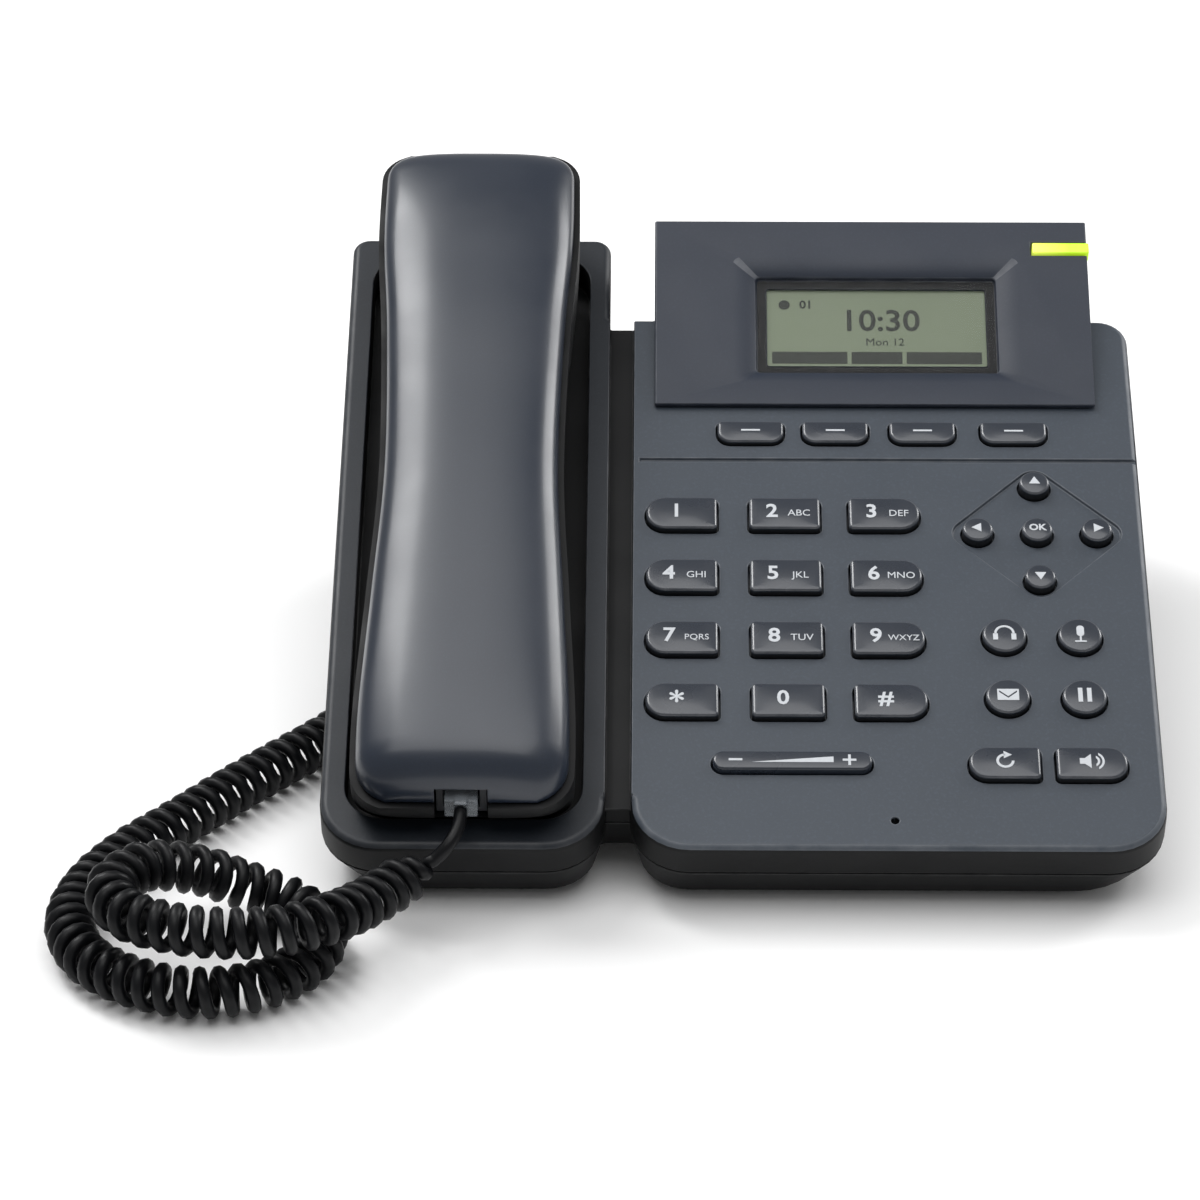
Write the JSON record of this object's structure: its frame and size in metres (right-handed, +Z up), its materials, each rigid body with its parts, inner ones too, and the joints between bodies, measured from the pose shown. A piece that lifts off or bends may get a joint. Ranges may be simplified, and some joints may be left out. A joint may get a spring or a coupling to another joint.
{
  "type": "desk ip phone",
  "caption": "Desk IP phone with tilted keypad base, display block, cradle with lift-off handset, curly handset cord and clip-on rear stand.",
  "frame": {"origin": "on the desk under the middle of the phone, handset cord left out", "axes": "+X to the user's right, +Y away from the user, +Z up"},
  "size_m": [0.2433, 0.2328, 0.1073],
  "materials": {
    "slate_plastic": "fine spark texture, slate grey",
    "black_plastic": "fine spark texture, near black",
    "bezel_plastic": "smooth satin, slate grey",
    "key_plastic": "smooth satin with printed white legends",
    "satin_plastic": "satin paint, slate grey",
    "clear_window": "clear moulded window",
    "lcd": "grey-green reflective display",
    "lamp": "translucent yellow-green light pipe",
    "board": "green circuit board",
    "silicone": "matt silicone",
    "speaker_metal": "plated steel can",
    "weight_iron": "raw",
    "steel": "plated shield",
    "jack_plastic": "black moulding",
    "plug_plastic": "clear moulded plug",
    "foot_rubber": "matt black rubber",
    "cord": "soft black PVC, slight sheen"
  },
  "bodies": {
    "root": {"bottom_case": "black_plastic", "top_case": "slate_plastic", "display_bezel": "bezel_plastic", "display_lens": "clear_window", "lcd_module": "lcd", "indicator_light": "lamp", "main_board": "board", "keypad_mat": "silicone", "speakerphone_mic": "speaker_metal", "loudspeaker": "speaker_metal", "hook_switch": "jack_plastic", "ethernet_jack": "steel", "power_jack": "jack_plastic", "handset_headset_jack": "jack_plastic", "base_plug": "plug_plastic", "base_lead": "cord", "curly_cord": "cord", "stand": "black_plastic", "stand_foot_left": "foot_rubber", "stand_foot_right": "foot_rubber", "front_foot_left": "foot_rubber", "front_foot_right": "foot_rubber"},
    "handset": {"handset_back_shell": "satin_plastic", "handset_face_shell": "black_plastic", "earpiece_receiver": "speaker_metal", "handset_mic": "speaker_metal", "handset_weight": "weight_iron", "handset_socket": "jack_plastic", "handset_plug": "plug_plastic", "handset_lead": "cord"},
    "hook": {"hook_plunger": "black_plastic"},
    "volume_key": {"volume_key": "key_plastic"},
    "key_1": {"key_1": "key_plastic"},
    "key_2": {"key_2": "key_plastic"},
    "key_3": {"key_3": "key_plastic"},
    "key_4": {"key_4": "key_plastic"},
    "key_5": {"key_5": "key_plastic"},
    "key_6": {"key_6": "key_plastic"},
    "key_7": {"key_7": "key_plastic"},
    "key_8": {"key_8": "key_plastic"},
    "key_9": {"key_9": "key_plastic"},
    "key_star": {"key_star": "key_plastic"},
    "key_0": {"key_0": "key_plastic"},
    "key_pound": {"key_pound": "key_plastic"},
    "soft_key_1": {"soft_key_1": "key_plastic"},
    "soft_key_2": {"soft_key_2": "key_plastic"},
    "soft_key_3": {"soft_key_3": "key_plastic"},
    "soft_key_4": {"soft_key_4": "key_plastic"},
    "nav_up": {"nav_up": "key_plastic"},
    "nav_left": {"nav_left": "key_plastic"},
    "nav_ok": {"nav_ok": "key_plastic"},
    "nav_right": {"nav_right": "key_plastic"},
    "nav_down": {"nav_down": "key_plastic"},
    "headset_key": {"headset_key": "key_plastic"},
    "mute_key": {"mute_key": "key_plastic"},
    "message_key": {"message_key": "key_plastic"},
    "hold_key": {"hold_key": "key_plastic"},
    "redial_key": {"redial_key": "key_plastic"},
    "speaker_key": {"speaker_key": "key_plastic"}
  },
  "joints": [
    {"name": "handset_lift", "type": "slide", "parent": "root", "child": "handset", "axis": [0, -0.342, 0.9397], "range_m": [0, 0.06]},
    {"name": "hook_travel", "type": "slide", "parent": "root", "child": "hook", "axis": [0, -0.342, 0.9397], "range_m": [0, 0.0035]},
    {"name": "volume_rock", "type": "hinge", "parent": "root", "child": "volume_key", "pos_m": [0.0109, -0.0704, 0.02304], "axis": [0, 0.9397, 0.342], "range_deg": [-3, 3], "stiffness_Nm_per_rad": 0.05},
    {"name": "key_1_press", "type": "slide", "parent": "root", "child": "key_1", "axis": [0, -0.342, 0.9397], "range_m": [-0.0012, 0], "stiffness_N_per_m": 250},
    {"name": "key_2_press", "type": "slide", "parent": "root", "child": "key_2", "axis": [0, -0.342, 0.9397], "range_m": [-0.0012, 0], "stiffness_N_per_m": 250},
    {"name": "key_3_press", "type": "slide", "parent": "root", "child": "key_3", "axis": [0, -0.342, 0.9397], "range_m": [-0.0012, 0], "stiffness_N_per_m": 250},
    {"name": "key_4_press", "type": "slide", "parent": "root", "child": "key_4", "axis": [0, -0.342, 0.9397], "range_m": [-0.0012, 0], "stiffness_N_per_m": 250},
    {"name": "key_5_press", "type": "slide", "parent": "root", "child": "key_5", "axis": [0, -0.342, 0.9397], "range_m": [-0.0012, 0], "stiffness_N_per_m": 250},
    {"name": "key_6_press", "type": "slide", "parent": "root", "child": "key_6", "axis": [0, -0.342, 0.9397], "range_m": [-0.0012, 0], "stiffness_N_per_m": 250},
    {"name": "key_7_press", "type": "slide", "parent": "root", "child": "key_7", "axis": [0, -0.342, 0.9397], "range_m": [-0.0012, 0], "stiffness_N_per_m": 250},
    {"name": "key_8_press", "type": "slide", "parent": "root", "child": "key_8", "axis": [0, -0.342, 0.9397], "range_m": [-0.0012, 0], "stiffness_N_per_m": 250},
    {"name": "key_9_press", "type": "slide", "parent": "root", "child": "key_9", "axis": [0, -0.342, 0.9397], "range_m": [-0.0012, 0], "stiffness_N_per_m": 250},
    {"name": "key_star_press", "type": "slide", "parent": "root", "child": "key_star", "axis": [0, -0.342, 0.9397], "range_m": [-0.0012, 0], "stiffness_N_per_m": 250},
    {"name": "key_0_press", "type": "slide", "parent": "root", "child": "key_0", "axis": [0, -0.342, 0.9397], "range_m": [-0.0012, 0], "stiffness_N_per_m": 250},
    {"name": "key_pound_press", "type": "slide", "parent": "root", "child": "key_pound", "axis": [0, -0.342, 0.9397], "range_m": [-0.0012, 0], "stiffness_N_per_m": 250},
    {"name": "soft_key_1_press", "type": "slide", "parent": "root", "child": "soft_key_1", "axis": [0, -0.342, 0.9397], "range_m": [-0.0012, 0], "stiffness_N_per_m": 250},
    {"name": "soft_key_2_press", "type": "slide", "parent": "root", "child": "soft_key_2", "axis": [0, -0.342, 0.9397], "range_m": [-0.0012, 0], "stiffness_N_per_m": 250},
    {"name": "soft_key_3_press", "type": "slide", "parent": "root", "child": "soft_key_3", "axis": [0, -0.342, 0.9397], "range_m": [-0.0012, 0], "stiffness_N_per_m": 250},
    {"name": "soft_key_4_press", "type": "slide", "parent": "root", "child": "soft_key_4", "axis": [0, -0.342, 0.9397], "range_m": [-0.0012, 0], "stiffness_N_per_m": 250},
    {"name": "nav_up_press", "type": "slide", "parent": "root", "child": "nav_up", "axis": [0, -0.342, 0.9397], "range_m": [-0.0012, 0], "stiffness_N_per_m": 250},
    {"name": "nav_left_press", "type": "slide", "parent": "root", "child": "nav_left", "axis": [0, -0.342, 0.9397], "range_m": [-0.0012, 0], "stiffness_N_per_m": 250},
    {"name": "nav_ok_press", "type": "slide", "parent": "root", "child": "nav_ok", "axis": [0, -0.342, 0.9397], "range_m": [-0.0012, 0], "stiffness_N_per_m": 250},
    {"name": "nav_right_press", "type": "slide", "parent": "root", "child": "nav_right", "axis": [0, -0.342, 0.9397], "range_m": [-0.0012, 0], "stiffness_N_per_m": 250},
    {"name": "nav_down_press", "type": "slide", "parent": "root", "child": "nav_down", "axis": [0, -0.342, 0.9397], "range_m": [-0.0012, 0], "stiffness_N_per_m": 250},
    {"name": "headset_key_press", "type": "slide", "parent": "root", "child": "headset_key", "axis": [0, -0.342, 0.9397], "range_m": [-0.0012, 0], "stiffness_N_per_m": 250},
    {"name": "mute_key_press", "type": "slide", "parent": "root", "child": "mute_key", "axis": [0, -0.342, 0.9397], "range_m": [-0.0012, 0], "stiffness_N_per_m": 250},
    {"name": "message_key_press", "type": "slide", "parent": "root", "child": "message_key", "axis": [0, -0.342, 0.9397], "range_m": [-0.0012, 0], "stiffness_N_per_m": 250},
    {"name": "hold_key_press", "type": "slide", "parent": "root", "child": "hold_key", "axis": [0, -0.342, 0.9397], "range_m": [-0.0012, 0], "stiffness_N_per_m": 250},
    {"name": "redial_key_press", "type": "slide", "parent": "root", "child": "redial_key", "axis": [0, -0.342, 0.9397], "range_m": [-0.0012, 0], "stiffness_N_per_m": 250},
    {"name": "speaker_key_press", "type": "slide", "parent": "root", "child": "speaker_key", "axis": [0, -0.342, 0.9397], "range_m": [-0.0012, 0], "stiffness_N_per_m": 250}
  ],
  "couplings": [
    {"joint": "hook_travel", "follows": "handset_lift", "ratio": 0.058333}
  ]
}
